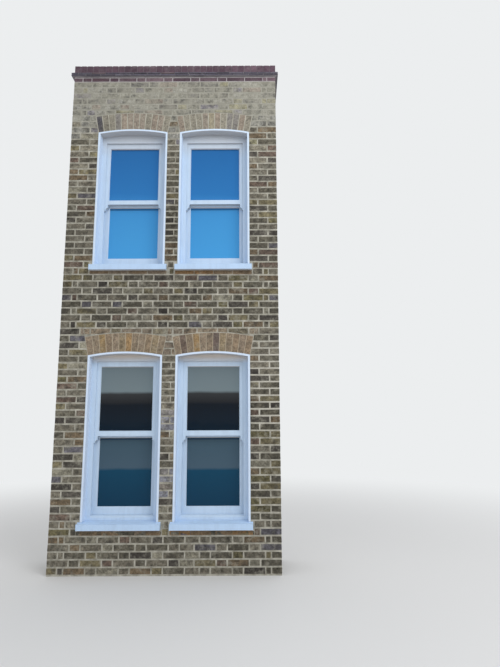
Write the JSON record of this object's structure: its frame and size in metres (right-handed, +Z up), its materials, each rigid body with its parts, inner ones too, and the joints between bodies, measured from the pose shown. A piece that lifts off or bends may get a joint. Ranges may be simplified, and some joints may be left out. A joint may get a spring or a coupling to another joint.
{
  "type": "bay window",
  "caption": "Two-storey square brick bay with white sliding sash windows, segmental arches and a parapet, cut off at the house wall.",
  "frame": {"origin": "on the ground, at the middle of the bay's width and of its whole depth from the sills' noses to the house wall", "axes": "+Z up, +X to the right as seen from the street, +Y into the house; the brick face looks along -Y"},
  "size_m": [2.47, 0.625, 5.772],
  "materials": {
    "stock_brick": "matte",
    "arch_brick": "matte",
    "red_brick": "matte",
    "creasing_tile": "matte",
    "painted_stone": "satin",
    "painted_render": "satin",
    "white_joinery": "satin",
    "window_glass": "polished",
    "lead": "matte",
    "plaster": "matte",
    "floor_timber": "matte"
  },
  "bodies": {
    "root": {"front_wall": "stock_brick", "left_return_wall": "stock_brick", "right_return_wall": "stock_brick", "red_brick_course": "red_brick", "brick_on_edge_coping": "red_brick", "tile_creasing": "creasing_tile", "ground_floor": "floor_timber", "first_floor": "floor_timber", "roof_deck": "floor_timber", "lead_roof": "lead", "window_boards": "white_joinery", "ground_room_plaster": "plaster", "ground_timber_sills": "white_joinery", "ground_architraves": "white_joinery", "first_room_plaster": "plaster", "first_timber_sills": "white_joinery", "first_architraves": "white_joinery", "ground_left_arch": "arch_brick", "ground_left_sill": "painted_stone", "ground_left_reveal": "painted_render", "ground_left_box_frame": "white_joinery", "ground_left_top_sash": "white_joinery", "ground_left_bottom_sash": "white_joinery", "ground_left_glass": "window_glass", "ground_right_arch": "arch_brick", "ground_right_sill": "painted_stone", "ground_right_reveal": "painted_render", "ground_right_box_frame": "white_joinery", "ground_right_top_sash": "white_joinery", "ground_right_bottom_sash": "white_joinery", "ground_right_glass": "window_glass", "first_left_arch": "arch_brick", "first_left_sill": "painted_stone", "first_left_reveal": "painted_render", "first_left_box_frame": "white_joinery", "first_left_top_sash": "white_joinery", "first_left_bottom_sash": "white_joinery", "first_left_glass": "window_glass", "first_right_arch": "arch_brick", "first_right_sill": "painted_stone", "first_right_reveal": "painted_render", "first_right_box_frame": "white_joinery", "first_right_top_sash": "white_joinery", "first_right_bottom_sash": "white_joinery", "first_right_glass": "window_glass"}
  },
  "joints": []
}
